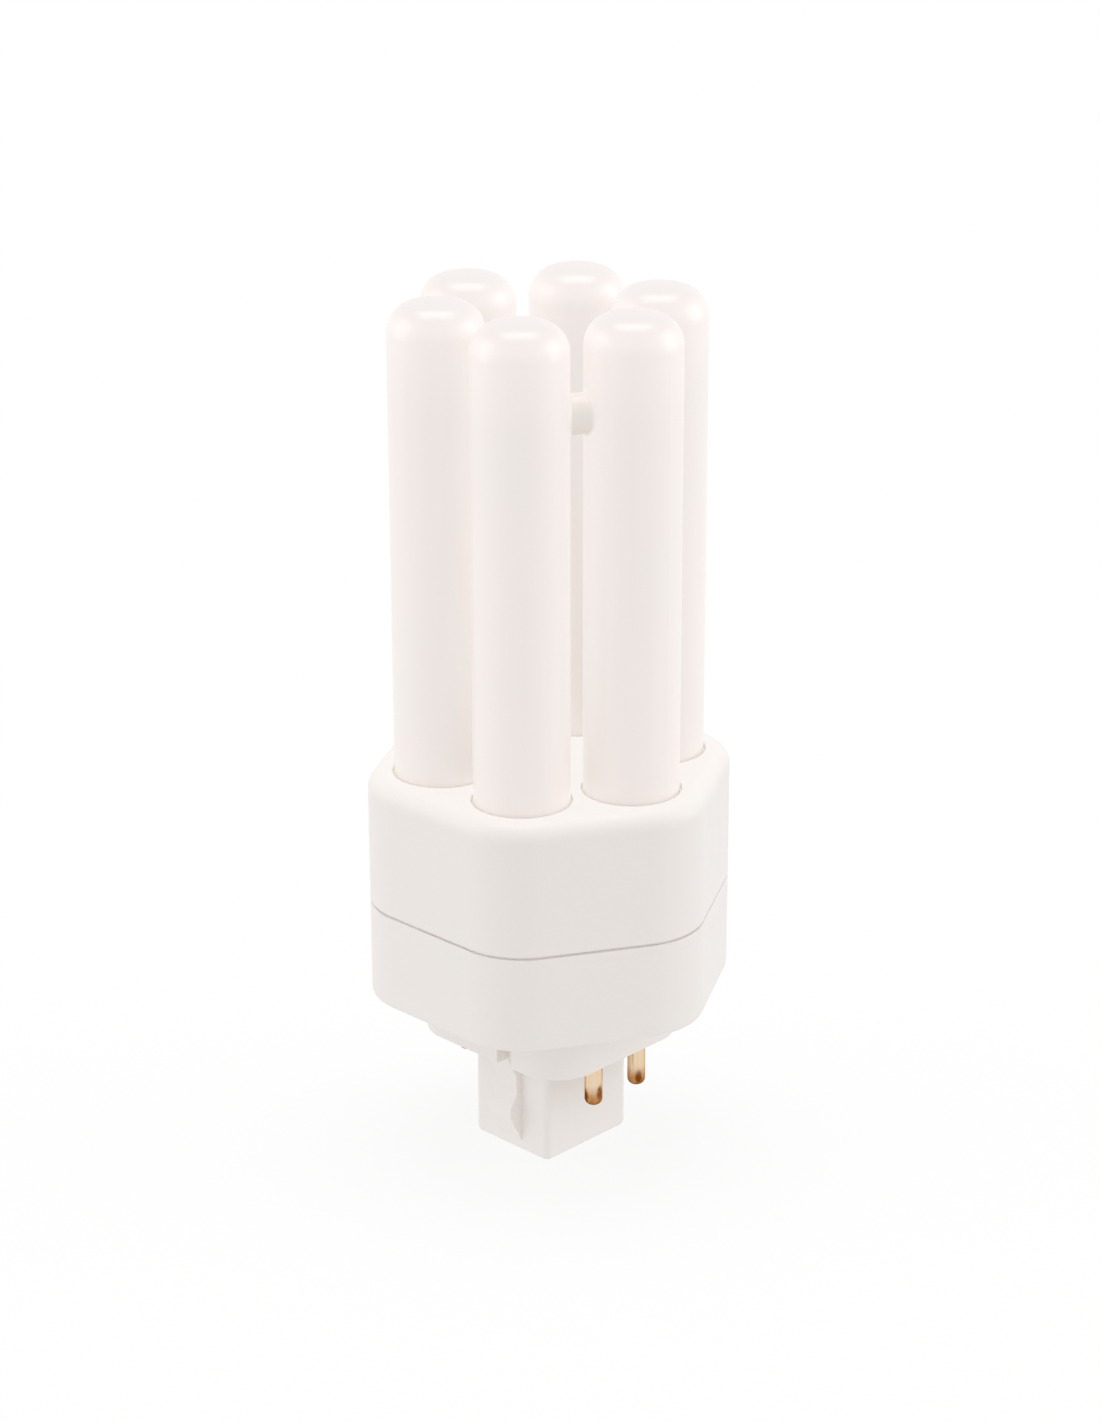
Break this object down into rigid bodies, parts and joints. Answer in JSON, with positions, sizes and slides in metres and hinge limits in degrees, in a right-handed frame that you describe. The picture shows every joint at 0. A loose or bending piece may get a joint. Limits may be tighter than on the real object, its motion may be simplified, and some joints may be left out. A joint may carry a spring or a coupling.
{
  "type": "led plug-in lamp",
  "caption": "Plug-in lamp with opal domed tubes bridged in pairs, a rounded hexagonal housing in two halves, and a square plug post beside round contact pins.",
  "frame": {"origin": "centre of the contact pin pattern on the seat face, the lower face of the collar", "axes": "+Z along the lamp towards the tubes, X along the long side of the pin pattern, Y across it through the post's snap wedges"},
  "size_m": [0.0468, 0.043, 0.1129],
  "materials": {
    "housing_plastic": "satin moulded plastic",
    "opal_tube": "opal, satin",
    "pin_brass": "drawn, slightly tarnished at the tip",
    "adhesive": "cured",
    "strip_board": "white solder mask",
    "light_chip": "phosphor under clear resin",
    "circuit_board": "green solder mask",
    "can_sleeve": "shrunk sleeve",
    "film_box": "moulded box",
    "ferrite": "ground ferrite",
    "copper_winding": "enamelled",
    "black_package": "moulded epoxy",
    "lead_wire": "tinned"
  },
  "bodies": {
    "root": {"bridge_rectifier": "black_package", "bulk_capacitor": "can_sleeve", "choke_coil": "copper_winding", "choke_core": "ferrite", "contact_pin_1": "pin_brass", "contact_pin_2": "pin_brass", "contact_pin_3": "pin_brass", "contact_pin_4": "pin_brass", "control_chip": "black_package", "driver_board": "circuit_board", "film_capacitor": "film_box", "input_lead_1": "lead_wire", "input_lead_2": "lead_wire", "input_lead_3": "lead_wire", "input_lead_4": "lead_wire", "led_chips_1": "light_chip", "led_chips_2": "light_chip", "led_chips_3": "light_chip", "led_chips_4": "light_chip", "led_chips_5": "light_chip", "led_chips_6": "light_chip", "led_strip_1": "strip_board", "led_strip_2": "strip_board", "led_strip_3": "strip_board", "led_strip_4": "strip_board", "led_strip_5": "strip_board", "led_strip_6": "strip_board", "lower_housing": "housing_plastic", "socket_adhesive": "adhesive", "tube_pair_back": "opal_tube", "tube_pair_left": "opal_tube", "tube_pair_right": "opal_tube", "upper_housing": "housing_plastic"}
  },
  "joints": []
}
